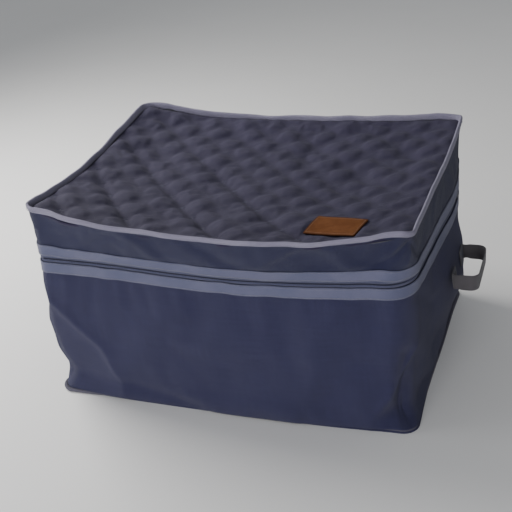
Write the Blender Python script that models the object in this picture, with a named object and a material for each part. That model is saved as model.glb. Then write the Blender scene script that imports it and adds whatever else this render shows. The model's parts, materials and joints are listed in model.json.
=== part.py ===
"""Shoe organizer: a soft box with a zipped, quilted lid, two grab handles and interlocking dividers.

Metres, +Z up. The origin is on the ground under the middle of the bag. The front faces -Y and the lid
folds back about a line along the top of the back wall. Every sub-part is one closed solid in its own
object. Pieces that sit against each other keep a gap of LAYER_GAP.
"""

import math

import bmesh
import bpy
from mathutils import Vector

# Driving dimensions
WIDTH = 0.540
DEPTH = 0.400
HEIGHT = 0.310
CORNER_RADIUS = 0.045
LAYER_GAP = 0.0003
ZIP_HEIGHT = 0.231

# Walls and base
WALL = 0.002
WALL_FOOT = 0.0055
SIDE_BULGE = 0.032
FRONT_BULGE = 0.012
BULGE_TOP = 0.205
BULGE_LIFT = 1.5
BULGE_ROWS = 8
BASE_PANEL = 0.0025
BASE_BOARD = 0.0025
BOARD_INSET = 0.0035
BASE_FLANGE = 0.008
BASE_BINDING_HEIGHT = 0.005

# Zip: half of the window between the two facings, and the layers behind it
ZIP_WINDOW = 0.005
ZIP_EDGE = 0.0055
FACING_HEIGHT = 0.017
FACING = 0.0007
TAPE = 0.0006
TAPE_HEIGHT = 0.0170
TAPE_EDGE = 0.0014
COIL = 0.0014
COIL_HEIGHT = 0.0023
COIL_EDGE = 0.0009
ZIP_END = 0.150
STOP_LENGTH = 0.003
STOP_HEIGHT = 0.0050
REAR_TAPE_HEIGHT = 0.0165
REAR_TAPE_SHARE = 0.98

# Slider, its bail and the pull
SLIDER_PLACE = 0.138
SLIDER_LENGTH = 0.016
SLIDER_HEIGHT = 0.0084
SLIDER_SHAPE = [(-1.0, 0.55), (-0.75, 0.72), (0.1, 0.80), (0.45, 1.0), (0.8, 1.0), (1.0, 0.7)]
SLIDER_PLATE = 0.0012
SLIDER_RUN = 0.0004
BRIDGE = 0.0012
BRIDGE_LENGTH = 0.003
BAIL_LENGTH = 0.010
BAIL_RADIUS = 0.0007
BAIL_REACH = 0.0024
PULL_WIDTH = 0.007
PULL_LENGTH = 0.021
PULL_THICKNESS = 0.0017
PULL_EYE = 0.0019
PULL_HOLE = 0.00105

# Lid
QUILT = 0.008
QUILT_TOP = 0.2985
LINING = 0.0012
LIP_HEIGHT = 0.0097
LIP_INNER = -0.0025
LIP_OUTER = 0.0010
LABEL_LENGTH = 0.075
LABEL_WIDTH = 0.040
LABEL = 0.0015
LABEL_CORNER = 0.003
LABEL_PLACE = (0.167, -0.159)

# Handles
HANDLE_HEIGHT = 0.158
WEBBING_WIDTH = 0.025
WEBBING = 0.0016
HANDLE_SPREAD = 0.047
HANDLE_REACH = 0.0250
HANDLE_CORNER = 0.012
PIVOT_REACH = 0.0145
TAB_LENGTH = 0.026
TAB_GAP = 0.0004

# Dividers
DIVIDER = 0.004
DIVIDER_HEIGHT = 0.210
DIVIDER_END_GAP = 0.0045
SLOT_GAP = 0.0004
CELLS_ACROSS = 4
CELLS_DEEP = 3

CORNER_STEPS = 6
HALF_CORNER_STEPS = CORNER_STEPS // 2
HALF_X = WIDTH / 2
HALF_Y = DEPTH / 2
CORE_X = HALF_X - CORNER_RADIUS
CORE_Y = HALF_Y - CORNER_RADIUS
HINGE = Vector((0.0, HALF_Y + FACING + 2 * LAYER_GAP, ZIP_HEIGHT))

# Each side's outward direction, and the half length and bulge of its straight stretch. Going round the
# bag counter-clockwise, a side's direction of travel is its outward direction turned by a quarter.
SIDES = {
    "left": (Vector((-1, 0)), CORE_Y, SIDE_BULGE),
    "front": (Vector((0, -1)), CORE_X, FRONT_BULGE),
    "right": (Vector((1, 0)), CORE_Y, SIDE_BULGE),
    "back": (Vector((0, 1)), CORE_X, FRONT_BULGE),
}

COLOURS = {
    "canvas": ((0.200, 0.212, 0.318), 0.85, 0.0),
    "quilt": ((0.245, 0.240, 0.315), 0.80, 0.0),
    "grosgrain": ((0.375, 0.380, 0.435), 0.75, 0.0),
    "lining": ((0.250, 0.250, 0.275), 0.90, 0.0),
    "board": ((0.300, 0.290, 0.280), 0.80, 0.0),
    "zip_tape": ((0.150, 0.155, 0.210), 0.85, 0.0),
    "coil": ((0.120, 0.120, 0.135), 0.45, 0.0),
    "metal": ((0.200, 0.200, 0.215), 0.35, 1.0),
    "webbing": ((0.240, 0.235, 0.245), 0.80, 0.0),
    "leather": ((0.408, 0.290, 0.204), 0.60, 0.0),
}


def remove_everything():
    for thing in list(bpy.data.objects):
        bpy.data.objects.remove(thing, do_unlink=True)


def linear(channel):
    return channel / 12.92 if channel <= 0.04045 else ((channel + 0.055) / 1.055) ** 2.4


def finish(name, kind):
    """A Principled material of one of the bag's kinds of surface."""
    colour, roughness, metallic = COLOURS[kind]
    material = bpy.data.materials.new(name + "_finish")
    material.use_nodes = True
    shader = material.node_tree.nodes["Principled BSDF"]
    shader.inputs["Base Color"].default_value = (*[linear(c) for c in colour], 1.0)
    shader.inputs["Roughness"].default_value = roughness
    shader.inputs["Metallic"].default_value = metallic
    return material


def add(name, mesh_data, kind, origin=(0, 0, 0), parent=None):
    """An object for a bmesh given in world coordinates, with its origin moved to the given point."""
    origin = Vector(origin)
    bmesh.ops.recalc_face_normals(mesh_data, faces=mesh_data.faces)
    bmesh.ops.translate(mesh_data, verts=mesh_data.verts, vec=-origin)
    mesh = bpy.data.meshes.new(name)
    mesh_data.to_mesh(mesh)
    mesh_data.free()
    mesh.materials.append(finish(name, kind))
    thing = bpy.data.objects.new(name, mesh)
    bpy.context.collection.objects.link(thing)
    thing.location = origin
    if parent:
        thing.parent = parent
        thing.location = origin - parent.location
    return thing


def helper(name, mesh_data, origin=(0, 0, 0)):
    """A solid that only takes part in a Boolean."""
    thing = add(name, mesh_data, "board", origin)
    thing.hide_render = True
    thing.display_type = "WIRE"
    return thing


def combine(thing, other, operation):
    cut = thing.modifiers.new(operation.lower(), "BOOLEAN")
    cut.operation = operation
    cut.solver = "EXACT"
    cut.object = other


def pivot(name, place):
    empty = bpy.data.objects.new(name, None)
    bpy.context.collection.objects.link(empty)
    empty.location = place
    return empty


# Shapes


def loft(outer, inner, closed=False):
    """A solid between two grids of points, each a list of rows that run along the piece."""
    solid = bmesh.new()
    rows, columns = len(outer), len(outer[0])
    skins = [[[solid.verts.new(point) for point in row] for row in grid] for grid in (outer, inner)]
    spans = columns if closed else columns - 1
    for skin in skins:
        for r in range(rows - 1):
            for c in range(spans):
                d = (c + 1) % columns
                solid.faces.new((skin[r][c], skin[r][d], skin[r + 1][d], skin[r + 1][c]))
    for r in (0, rows - 1):
        for c in range(spans):
            d = (c + 1) % columns
            solid.faces.new((skins[0][r][c], skins[0][r][d], skins[1][r][d], skins[1][r][c]))
    if not closed:
        for c in (0, columns - 1):
            for r in range(rows - 1):
                solid.faces.new((skins[0][r][c], skins[0][r + 1][c], skins[1][r + 1][c], skins[1][r][c]))
    return solid


def prism(outline, axis, low, high):
    """An outline in the plane across an axis, pushed out along it from low to high."""
    solid = bmesh.new()
    rings = []
    for level in (low, high):
        ring = []
        for a, b in outline:
            point = {"x": (level, a, b), "y": (a, level, b), "z": (a, b, level)}[axis]
            ring.append(solid.verts.new(point))
        rings.append(ring)
    solid.faces.new(rings[0])
    solid.faces.new(rings[1])
    for i in range(len(outline)):
        j = (i + 1) % len(outline)
        solid.faces.new((rings[0][i], rings[0][j], rings[1][j], rings[1][i]))
    return solid


def block(low, high):
    outline = [(low[0], low[1]), (high[0], low[1]), (high[0], high[1]), (low[0], high[1])]
    return prism(outline, "z", low[2], high[2])


def arc(centre, radius, first, last, steps):
    """Points on an arc, with the angles in degrees."""
    points = []
    for i in range(steps + 1):
        angle = math.radians(first + (last - first) * i / steps)
        points.append((centre[0] + radius * math.cos(angle), centre[1] + radius * math.sin(angle)))
    return points


def rounded_rectangle(half_a, half_b, radius, steps, centre=(0, 0)):
    outline = []
    for quarter, (a, b) in enumerate(((1, 1), (-1, 1), (-1, -1), (1, -1))):
        middle = (centre[0] + a * (half_a - radius), centre[1] + b * (half_b - radius))
        outline += arc(middle, radius, 90 * quarter, 90 * quarter + 90, steps)
    return outline


def rod(points, radius, level, sides=8):
    """A round bar along a line of points in a horizontal plane, mitred at its bends."""
    solid = bmesh.new()
    rings = []
    for i, point in enumerate(points):
        here = Vector(point)
        before = (here - Vector(points[i - 1])).normalized() if i else None
        after = (Vector(points[i + 1]) - here).normalized() if i + 1 < len(points) else None
        before, after = before or after, after or before
        across = Vector((-(before + after).y, (before + after).x)).normalized()
        stretch = 1 / across.dot(Vector((-after.y, after.x)))
        ring = []
        for k in range(sides):
            angle = math.tau * k / sides
            flat = here + across * (radius * stretch * math.cos(angle))
            ring.append(solid.verts.new((flat.x, flat.y, level + radius * math.sin(angle))))
        rings.append(ring)
    for ring, following in zip(rings, rings[1:]):
        for k in range(sides):
            m = (k + 1) % sides
            solid.faces.new((ring[k], ring[m], following[m], following[k]))
    solid.faces.new(rings[0])
    solid.faces.new(rings[-1])
    return solid


# The bag's plan outline, as stations: a point on the outer face, the outward direction there, and how
# far the wall bulges there at its fullest height


def straight(side, start=-1.0, end=1.0, steps=1):
    """Stations along a side's straight stretch, from one share of its half length to another."""
    outward, half, bulge = SIDES[side]
    along = Vector((-outward.y, outward.x))
    reach = HALF_X if outward.x else HALF_Y
    stations = []
    for i in range(steps + 1):
        share = start + (end - start) * i / steps
        place = outward * reach + along * half * share
        stations.append((place, outward, bulge * math.cos(share * math.pi / 2)))
    return stations


def corner(side, first=0.0, last=90.0, steps=CORNER_STEPS):
    """Stations round the corner that ends a side, from one angle of the turn to another."""
    outward, half, _ = SIDES[side]
    along = Vector((-outward.y, outward.x))
    reach = (HALF_X if outward.x else HALF_Y) - CORNER_RADIUS
    middle = outward * reach + along * half
    stations = []
    for i in range(steps + 1):
        turn = math.radians(first + (last - first) * i / steps)
        direction = outward * math.cos(turn) + along * math.sin(turn)
        stations.append((middle + direction * CORNER_RADIUS, direction, 0.0))
    return stations


def joined(*runs):
    """Runs of stations end to end, with each shared end kept once."""
    stations = list(runs[0])
    for run in runs[1:]:
        stations += run[1:] if (run[0][0] - stations[-1][0]).length < 1e-6 else run
    return stations


def ring():
    """The whole outline, for closed bands and plates."""
    stations = joined(*[part for side in SIDES for part in (straight(side), corner(side))])
    return stations[:-1]


def zip_run():
    """The outline that the zip's facings follow: from corner to corner of the back, round the front."""
    return joined(
        corner("back", 45, 90, HALF_CORNER_STEPS), straight("left"), corner("left"), straight("front"),
        corner("front"), straight("right"), corner("right", 0, 45, HALF_CORNER_STEPS),
    )


def coil_run():
    """The shorter stretch that has teeth: it ends inside the two rear corners."""
    share = ZIP_END / CORE_Y
    return joined(
        straight("left", -share, 1), corner("left"), straight("front"), corner("front"),
        straight("right", -1, share),
    )


def fullness(level):
    """How far a wall bulges at a height, as a share of its fullest."""
    share = (level - WALL_FOOT) / (BULGE_TOP - WALL_FOOT)
    if not 0 < share < 1:
        return 0.0
    return math.sin(math.pi * share**BULGE_LIFT)


def band(stations, rows, inner, outer, closed=False):
    """A strip that stands on the outline, between two distances out from it."""
    grids = []
    for distance in (outer, inner):
        grid = []
        for level in rows:
            row = []
            for point, outward, bulge in stations:
                flat = point + outward * (distance + bulge * fullness(level))
                row.append((flat.x, flat.y, level))
            grid.append(row)
        grids.append(grid)
    return loft(*grids, closed)


def plate(distance, low, high):
    """A flat plate with the outline's shape, its edge at a distance out from it."""
    outline = [tuple(point + outward * distance) for point, outward, _ in ring()]
    return prism(outline, "z", low, high)


def edge_by_zip(side):
    """How far a panel's edge stays from the zip's line: the back has no zip, only the fold."""
    return LAYER_GAP if side == "back" else ZIP_EDGE


# Base and walls


def make_base():
    add("base_panel", plate(-2 * LAYER_GAP, 0, BASE_PANEL), "canvas")
    low = BASE_PANEL + LAYER_GAP
    add("base_board", plate(-BOARD_INSET, low, low + BASE_BOARD), "board")
    flange = band(ring(), (0, BASE_BINDING_HEIGHT), -LAYER_GAP / 2, BASE_FLANGE, closed=True)
    add("base_binding", flange, "grosgrain")


def make_walls():
    """Four panels that meet half way round each corner."""
    seam = math.degrees(LAYER_GAP / 2 / (CORNER_RADIUS - WALL))
    rows = [WALL_FOOT + (BULGE_TOP - WALL_FOOT) * i / BULGE_ROWS for i in range(BULGE_ROWS + 1)]
    names = list(SIDES)
    for i, side in enumerate(names):
        stations = joined(
            corner(names[i - 1], 45 + seam, 90, HALF_CORNER_STEPS),
            straight(side, steps=BULGE_ROWS),
            corner(side, 0, 45 - seam, HALF_CORNER_STEPS),
        )
        top = ZIP_HEIGHT - edge_by_zip(side)
        add(side + "_wall", band(stations, rows + [top], -WALL, 0), "canvas")


# Zip


def make_zip_half(prefix, sign, parent):
    """Facing, tape and teeth on one side of the zip: sign is -1 below it and 1 above it."""

    def levels(near, far):
        return sorted((ZIP_HEIGHT + sign * near, ZIP_HEIGHT + sign * far))

    facing = band(zip_run(), levels(ZIP_WINDOW, ZIP_WINDOW + FACING_HEIGHT), LAYER_GAP, LAYER_GAP + FACING)
    add(prefix + "_zip_facing", facing, "grosgrain", HINGE if parent else (0, 0, 0), parent)
    face = -WALL - LAYER_GAP
    tape = band(zip_run(), levels(TAPE_EDGE, TAPE_EDGE + TAPE_HEIGHT), face - TAPE, face)
    add(prefix + "_zip_tape", tape, "zip_tape", HINGE if parent else (0, 0, 0), parent)
    coil = band(coil_run(), levels(COIL_EDGE, COIL_EDGE + COIL_HEIGHT), -LAYER_GAP - COIL, -LAYER_GAP)
    add(prefix + "_zip_coil", coil, "coil", HINGE if parent else (0, 0, 0), parent)


def make_zip_ends():
    """The stops just past the two ends of the teeth."""
    low, high = ZIP_HEIGHT - STOP_HEIGHT / 2, ZIP_HEIGHT + STOP_HEIGHT / 2
    near, far = ZIP_END + 2 * LAYER_GAP, ZIP_END + 2 * LAYER_GAP + STOP_LENGTH
    inner, outer = HALF_X - LAYER_GAP - COIL, HALF_X - LAYER_GAP
    add("zip_end_stop", block((-outer, near, low), (-inner, far, high)), "metal")
    add("zip_start_stop", block((inner, near, low), (outer, far, high)), "metal")


def make_rear_hinge_tape():
    high = ZIP_HEIGHT - LAYER_GAP
    stations = straight("back", -REAR_TAPE_SHARE, REAR_TAPE_SHARE)
    tape = band(stations, (high - REAR_TAPE_HEIGHT, high), LAYER_GAP, LAYER_GAP + FACING)
    add("rear_hinge_tape", tape, "grosgrain")


def slider_outline():
    """Seen from the side: wide shoulders at the rear end, narrower at the front end."""
    half, height = SLIDER_LENGTH / 2, SLIDER_HEIGHT / 2
    upper = SLIDER_SHAPE
    lower = [(y, -z) for y, z in reversed(upper)]
    return [(SLIDER_PLACE + y * half, ZIP_HEIGHT + z * height) for y, z in upper + lower]


def make_slider():
    """Two plates either side of the teeth, joined by a bridge between them, with a bail outside."""
    outer_face = -HALF_X + LAYER_GAP - SLIDER_RUN
    inner_face = -HALF_X + WALL + LAYER_GAP + TAPE + SLIDER_RUN
    centre = (outer_face, SLIDER_PLACE, ZIP_HEIGHT)
    outer_plate = prism(slider_outline(), "x", outer_face - SLIDER_PLATE, outer_face)
    slider = add("zip_slider", outer_plate, "metal", centre)
    inner_plate = prism(slider_outline(), "x", inner_face, inner_face + SLIDER_PLATE)
    combine(slider, helper("slider_inner_plate", inner_plate), "UNION")
    back = SLIDER_PLACE + 0.8 * SLIDER_LENGTH / 2
    bridge = block(
        (outer_face - SLIDER_PLATE / 2, back - BRIDGE_LENGTH, ZIP_HEIGHT - BRIDGE / 2),
        (inner_face + SLIDER_PLATE / 2, back, ZIP_HEIGHT + BRIDGE / 2),
    )
    combine(slider, helper("slider_bridge", bridge), "UNION")
    root = outer_face - SLIDER_PLATE / 2
    bar = outer_face - SLIDER_PLATE - BAIL_REACH
    half = BAIL_LENGTH / 2
    corners = [(root, half), (bar, half), (bar, -half), (root, -half)]
    bail = rod([(x, SLIDER_PLACE + y) for x, y in corners], BAIL_RADIUS, ZIP_HEIGHT)
    combine(slider, helper("slider_bail", bail), "UNION")
    return bar


def make_pull(bar):
    """A folded tab whose eye runs on the bail's bar, hanging down."""
    half = PULL_THICKNESS / 2
    reach = math.degrees(math.acos(half / PULL_EYE))
    outline = arc((bar, ZIP_HEIGHT), PULL_EYE, -reach, 180 + reach, 12)
    outline += arc((bar, ZIP_HEIGHT - PULL_LENGTH + half), half, 180, 360, 4)
    low, high = SLIDER_PLACE - PULL_WIDTH / 2, SLIDER_PLACE + PULL_WIDTH / 2
    pull = add("zip_pull", prism(outline, "y", low, high), "webbing", (bar, SLIDER_PLACE, ZIP_HEIGHT))
    circle = arc((bar, ZIP_HEIGHT), PULL_HOLE, 0, 330, 11)
    hole = prism(circle, "y", low - PULL_HOLE, high + PULL_HOLE)
    combine(pull, helper("pull_hole", hole), "DIFFERENCE")


# Lid


def make_lid():
    lid = pivot("lid_hinge_line", HINGE)
    seam = math.degrees(LAYER_GAP / 2 / (CORNER_RADIUS - WALL))
    names = list(SIDES)
    skirt_top = HEIGHT - LIP_HEIGHT - LAYER_GAP
    for i, side in enumerate(names):
        stations = joined(
            corner(names[i - 1], 45 + seam, 90, HALF_CORNER_STEPS),
            straight(side),
            corner(side, 0, 45 - seam, HALF_CORNER_STEPS),
        )
        skirt = band(stations, (ZIP_HEIGHT + edge_by_zip(side), skirt_top), -WALL, 0)
        add("lid_" + side + "_skirt", skirt, "canvas", HINGE, lid)
    edge = -WALL - LAYER_GAP
    low = QUILT_TOP - QUILT
    add("lid_quilt", plate(edge, low, QUILT_TOP), "quilt", HINGE, lid)
    add("lid_lining", plate(edge, low - LAYER_GAP - LINING, low - LAYER_GAP), "lining", HINGE, lid)
    lip = band(ring(), (HEIGHT - LIP_HEIGHT, HEIGHT), LIP_INNER, LIP_OUTER, closed=True)
    add("lid_binding", lip, "grosgrain", HINGE, lid)
    outline = rounded_rectangle(LABEL_LENGTH / 2, LABEL_WIDTH / 2, LABEL_CORNER, 3, LABEL_PLACE)
    label = prism(outline, "z", QUILT_TOP + LAYER_GAP, QUILT_TOP + LAYER_GAP + LABEL)
    add("leather_label", label, "leather", HINGE, lid)
    make_zip_half("upper", 1, lid)


# Handles


def wall_out(along, level):
    """How far out a side wall's face is at a distance from the middle of the side, and at a height."""
    return HALF_X + SIDE_BULGE * math.cos(along / CORE_Y * math.pi / 2) * fullness(level)


def handle_pivot():
    return wall_out(HANDLE_SPREAD, HANDLE_HEIGHT) + PIVOT_REACH


def round_end(steps=5):
    """Shares of the half width, from the tip of a round end back to its full width."""
    angles = [math.radians(15 + 75 * i / steps) for i in range(steps + 1)]
    return [(math.cos(a), math.sin(a)) for a in angles]


def make_handle(side, sign):
    """A loop of webbing whose two round ends swing about one line along the wall."""
    half = WEBBING_WIDTH / 2
    out = handle_pivot()
    tip = out + HANDLE_REACH
    face = HANDLE_SPREAD + WEBBING
    stations = [((out - half * cos, -face), (0, -1), half * sin) for cos, sin in round_end()]
    bend = tip - HANDLE_CORNER
    turn_y = face - HANDLE_CORNER
    for first, middle in ((-90, (bend, -turn_y)), (0, (bend, turn_y))):
        for i in range(7):
            angle = math.radians(first + 15 * i)
            outward = (math.cos(angle), math.sin(angle))
            place = (middle[0] + HANDLE_CORNER * outward[0], middle[1] + HANDLE_CORNER * outward[1])
            stations.append((place, outward, half))
    stations += [((out - half * cos, face), (0, 1), half * sin) for cos, sin in reversed(round_end())]
    grids = []
    for depth in (0, WEBBING):
        grid = []
        for row in (-1, 1):
            grid.append([
                (sign * (p[0] - n[0] * depth), p[1] - n[1] * depth, HANDLE_HEIGHT + row * height)
                for p, n, height in stations
            ])
        grids.append(grid)
    add(side + "_handle", loft(*grids), "webbing", (sign * out, 0, HANDLE_HEIGHT))


def make_tab(side, sign, end, name):
    """The sewn end of a handle: an ear beside the loop's end, turned flat against the wall."""
    half = WEBBING_WIDTH / 2
    out = handle_pivot()
    near = HANDLE_SPREAD - LAYER_GAP
    far = near - WEBBING
    shares = (-1, -0.5, 0, 0.5, 1)
    outer, inner = [], []
    for share in shares:
        skin, back = [], []
        for cos, sin in round_end():
            level = HANDLE_HEIGHT + share * half * sin
            skin.append((out + half * cos, near, level))
            back.append((out + half * cos, far, level))
        level = HANDLE_HEIGHT + share * half
        skin.append((wall_out(near, level) + TAB_GAP, near, level))
        back.append((wall_out(far, level) + TAB_GAP + WEBBING, far, level))
        for i in range(1, 5):
            along = far - TAB_LENGTH * i / 4
            skin.append((wall_out(along, level) + TAB_GAP, along, level))
            back.append((wall_out(along, level) + TAB_GAP + WEBBING, along, level))
        outer.append([(sign * x, end * y, z) for x, y, z in skin])
        inner.append([(sign * x, end * y, z) for x, y, z in back])
    add(side + "_handle_" + name + "_tab", loft(outer, inner), "webbing")


def make_handles():
    for side, sign in (("right", 1), ("left", -1)):
        make_handle(side, sign)
        make_tab(side, sign, -1, "front")
        make_tab(side, sign, 1, "rear")


# Dividers


def slotted(half_length, places, low, high, slots_down):
    """A divider's outline: a board with a slot from its top or from its bottom at each place."""
    half = DIVIDER / 2 + SLOT_GAP
    middle = (low + high) / 2 + (-SLOT_GAP if slots_down else SLOT_GAP)
    plain, slotted_edge = (low, high) if slots_down else (high, low)
    outline = [(half_length, plain), (-half_length, plain), (-half_length, slotted_edge)]
    for place in places:
        outline += [
            (place - half, slotted_edge), (place - half, middle),
            (place + half, middle), (place + half, slotted_edge),
        ]
    outline.append((half_length, slotted_edge))
    return outline


def make_dividers():
    low = BASE_PANEL + BASE_BOARD + 2 * LAYER_GAP + LAYER_GAP
    high = low + DIVIDER_HEIGHT
    across = [WIDTH * (i / CELLS_ACROSS - 0.5) for i in range(1, CELLS_ACROSS)]
    deep = [DEPTH * (i / CELLS_DEEP - 0.5) for i in range(1, CELLS_DEEP)]
    half_x, half_y = HALF_X - DIVIDER_END_GAP, HALF_Y - DIVIDER_END_GAP
    for name, place in zip(("front", "rear"), deep):
        outline = slotted(half_x, across, low, high, slots_down=True)
        add(name + "_divider", prism(outline, "y", place - DIVIDER / 2, place + DIVIDER / 2), "lining")
    for name, place in zip(("left", "middle", "right"), across):
        outline = slotted(half_y, deep, low, high, slots_down=False)
        add(name + "_divider", prism(outline, "x", place - DIVIDER / 2, place + DIVIDER / 2), "lining")


def main():
    remove_everything()
    make_base()
    make_walls()
    make_zip_half("lower", -1, None)
    make_zip_ends()
    make_rear_hinge_tape()
    make_pull(make_slider())
    make_lid()
    make_handles()
    make_dividers()


main()
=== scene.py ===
"""Looks of the shoe organizer: soft navy box, zipped quilted lid, grey tapes, handles and dividers.

Metres, +Z up, the front faces -Y. Cloth follows one outline of stations that runs round the bag, with
tables for how far each side swells and sags, named folds, and cloth simulation on top.
"""

import json
import math

import bmesh
import bpy
import numpy as np
from mathutils import Matrix, Vector, noise
from mathutils.bvhtree import BVHTree


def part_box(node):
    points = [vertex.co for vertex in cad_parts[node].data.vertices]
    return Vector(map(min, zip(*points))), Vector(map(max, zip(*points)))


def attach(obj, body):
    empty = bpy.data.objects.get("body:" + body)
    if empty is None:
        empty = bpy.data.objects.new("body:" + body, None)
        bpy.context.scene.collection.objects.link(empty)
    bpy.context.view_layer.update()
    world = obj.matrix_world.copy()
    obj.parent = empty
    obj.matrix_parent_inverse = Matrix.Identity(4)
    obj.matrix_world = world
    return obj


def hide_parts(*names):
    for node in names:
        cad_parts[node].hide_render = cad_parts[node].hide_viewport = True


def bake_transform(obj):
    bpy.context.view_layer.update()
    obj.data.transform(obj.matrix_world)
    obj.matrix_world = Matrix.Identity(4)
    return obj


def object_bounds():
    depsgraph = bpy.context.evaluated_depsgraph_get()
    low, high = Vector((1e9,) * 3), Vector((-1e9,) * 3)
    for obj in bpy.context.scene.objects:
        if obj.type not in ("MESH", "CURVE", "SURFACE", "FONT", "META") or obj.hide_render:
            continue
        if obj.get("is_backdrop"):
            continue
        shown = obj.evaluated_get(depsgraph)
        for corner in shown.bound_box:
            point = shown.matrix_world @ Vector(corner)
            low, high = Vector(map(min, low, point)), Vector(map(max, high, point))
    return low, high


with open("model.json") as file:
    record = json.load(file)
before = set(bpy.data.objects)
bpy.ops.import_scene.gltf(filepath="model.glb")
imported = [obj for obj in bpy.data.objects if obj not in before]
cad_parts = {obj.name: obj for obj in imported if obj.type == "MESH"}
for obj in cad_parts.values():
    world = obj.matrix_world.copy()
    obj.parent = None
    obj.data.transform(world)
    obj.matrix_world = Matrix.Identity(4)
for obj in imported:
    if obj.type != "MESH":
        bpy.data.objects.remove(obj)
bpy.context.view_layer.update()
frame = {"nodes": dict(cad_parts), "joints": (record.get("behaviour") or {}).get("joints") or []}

MM = 0.001

# Sizes read from the frame
HALF_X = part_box("lid_right_skirt")[1].x
HALF_Y = -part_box("lid_front_skirt")[0].y
WALL = 2 * MM
WALL_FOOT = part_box("front_wall")[0].z
WALL_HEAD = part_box("front_wall")[1].z
SKIRT_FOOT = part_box("lid_front_skirt")[0].z
SKIRT_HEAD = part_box("lid_front_skirt")[1].z
LIP_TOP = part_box("lid_binding")[1].z
QUILT_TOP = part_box("lid_quilt")[1].z
JOINTS = {joint["name"]: joint for joint in frame["joints"]}
ZIP = Vector(JOINTS["lid_hinge"]["pos_m"]).z
HANDLE_LEVEL = JOINTS["right_handle_swing"]["pos_m"][2]
HANDLE_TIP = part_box("right_handle")[1].x
HANDLE_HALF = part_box("right_handle")[1].y

# Materials


def linear(channel):
    """A linear value from an sRGB one of 0 to 255."""
    channel /= 255
    return channel / 12.92 if channel <= 0.04045 else ((channel + 0.055) / 1.055) ** 2.4


def colour(red, green, blue):
    return (linear(red), linear(green), linear(blue), 1.0)


class Shader:
    """A node tree under construction, with short calls for the few kinds of node used here."""

    def __init__(self, name):
        self.material = bpy.data.materials.new(name)
        self.material.use_nodes = True
        self.nodes = self.material.node_tree.nodes
        self.links = self.material.node_tree.links
        self.out = self.nodes["Principled BSDF"]
        coordinates = self.nodes.new("ShaderNodeTexCoord")
        self.place = coordinates.outputs["Object"]
        uv = self.nodes.new("ShaderNodeUVMap")
        uv.uv_map = "flat"
        self.flat = uv.outputs["UV"]

    def feed(self, socket, value):
        if isinstance(value, bpy.types.NodeSocket):
            self.links.new(value, socket)
        else:
            socket.default_value = value

    def set(self, **values):
        for name, value in values.items():
            self.feed(self.out.inputs[name.replace("_", " ")], value)

    def math(self, operation, a, b=0.0):
        node = self.nodes.new("ShaderNodeMath")
        node.operation = operation
        self.feed(node.inputs[0], a)
        self.feed(node.inputs[1], b)
        return node.outputs[0]

    def mix(self, share, a, b):
        node = self.nodes.new("ShaderNodeMix")
        node.data_type = "RGBA"
        self.feed(node.inputs[0], share)
        self.feed(node.inputs[6], a)
        self.feed(node.inputs[7], b)
        return node.outputs[2]

    def noise(self, scale, detail=3.0, where=None, stretch=(1, 1, 1), roughness=0.55):
        mapping = self.nodes.new("ShaderNodeMapping")
        self.feed(mapping.inputs["Vector"], self.place if where is None else where)
        mapping.inputs["Scale"].default_value = stretch
        node = self.nodes.new("ShaderNodeTexNoise")
        self.feed(node.inputs["Vector"], mapping.outputs[0])
        node.inputs["Scale"].default_value = scale
        node.inputs["Detail"].default_value = detail
        node.inputs["Roughness"].default_value = roughness
        return node.outputs[0]

    def cells(self, scale, where=None):
        node = self.nodes.new("ShaderNodeTexVoronoi")
        node.feature = "DISTANCE_TO_EDGE"
        self.feed(node.inputs["Vector"], self.place if where is None else where)
        node.inputs["Scale"].default_value = scale
        return node.outputs[0]

    def axes(self):
        """Distance along the cloth, up it, and zero."""
        node = self.nodes.new("ShaderNodeSeparateXYZ")
        self.feed(node.inputs[0], self.flat)
        return node.outputs

    def wave(self, along, pitch):
        """A sine from -1 to 1 with a pitch in metres."""
        return self.math("SINE", self.math("MULTIPLY", along, math.tau / pitch))

    def ramp(self, value, low, high):
        node = self.nodes.new("ShaderNodeMapRange")
        node.interpolation_type = "SMOOTHSTEP"
        self.feed(node.inputs["Value"], value)
        node.inputs["From Min"].default_value = low
        node.inputs["From Max"].default_value = high
        return node.outputs[0]

    def bump(self, height, distance, strength=1.0, below=None):
        node = self.nodes.new("ShaderNodeBump")
        self.feed(node.inputs["Height"], height)
        node.inputs["Distance"].default_value = distance
        node.inputs["Strength"].default_value = strength
        if below is not None:
            self.links.new(below, node.inputs["Normal"])
        return node.outputs[0]


def woven(name, deep, base, light, pitch, relief, roughness=0.85, sheen=0.25, slub=0.35):
    """Plain weave: warp and weft bumps, slubs along both threads, and slow changes of shade."""
    s = Shader(name)
    across, up, _ = s.axes()
    weave = s.math("MULTIPLY", s.wave(across, pitch), s.wave(up, pitch))
    warp = s.noise(1 / (4 * pitch), 2, s.flat, (1, 0.08, 1))
    weft = s.noise(1 / (4 * pitch), 2, s.flat, (0.08, 1, 1))
    slubs = s.math("ADD", s.math("MULTIPLY", warp, slub), s.math("MULTIPLY", weft, slub))
    shade = s.ramp(s.noise(7, 4), 0.3, 0.7)
    thread = s.ramp(s.math("ADD", s.math("MULTIPLY", weave, 0.5), slubs), -0.3, 0.9)
    tone = s.mix(s.math("MULTIPLY", shade, 0.6), base, light)
    s.set(Base_Color=s.mix(s.math("SUBTRACT", 1.0, thread), tone, deep))
    fine = s.bump(s.math("ADD", weave, slubs), relief)
    s.set(Normal=s.bump(s.noise(60, 3), 4 * relief, 0.5, fine))
    s.set(Roughness=roughness, Sheen_Weight=sheen, Sheen_Roughness=0.5)
    s.out.inputs["Specular IOR Level"].default_value = 0.25
    return s.material


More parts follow.
